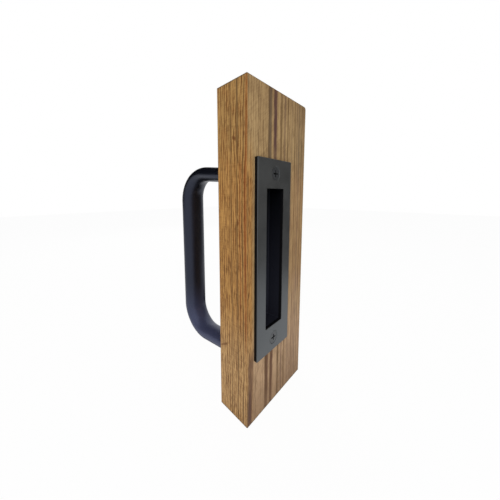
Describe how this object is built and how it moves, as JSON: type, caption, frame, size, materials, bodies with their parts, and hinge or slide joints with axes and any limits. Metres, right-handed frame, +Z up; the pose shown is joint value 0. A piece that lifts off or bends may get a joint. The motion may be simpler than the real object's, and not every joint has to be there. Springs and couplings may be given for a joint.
{
  "type": "barn door pull",
  "caption": "Arched bar pull and rectangular flush pull fitted back to back on a short section of timber door.",
  "frame": {"origin": "centre of the door section's bottom end", "axes": "+Z up the door, +X across it to the right as seen from the flush pull's side, +Y from the flush pull's face to the bar pull's face"},
  "size_m": [0.091, 0.1116, 0.3],
  "materials": {
    "timber": "satin",
    "black_plate": "satin",
    "black_tub": "satin",
    "black_screw": "satin",
    "black_bar": "satin",
    "plated_stud": "satin"
  },
  "bodies": {
    "root": {"door_block": "timber", "flush_plate": "black_plate", "recess_box": "black_tub", "plate_screw_top": "black_screw", "plate_screw_bottom": "black_screw", "pull_handle": "black_bar", "handle_stud_top": "plated_stud", "handle_stud_bottom": "plated_stud"}
  },
  "joints": []
}
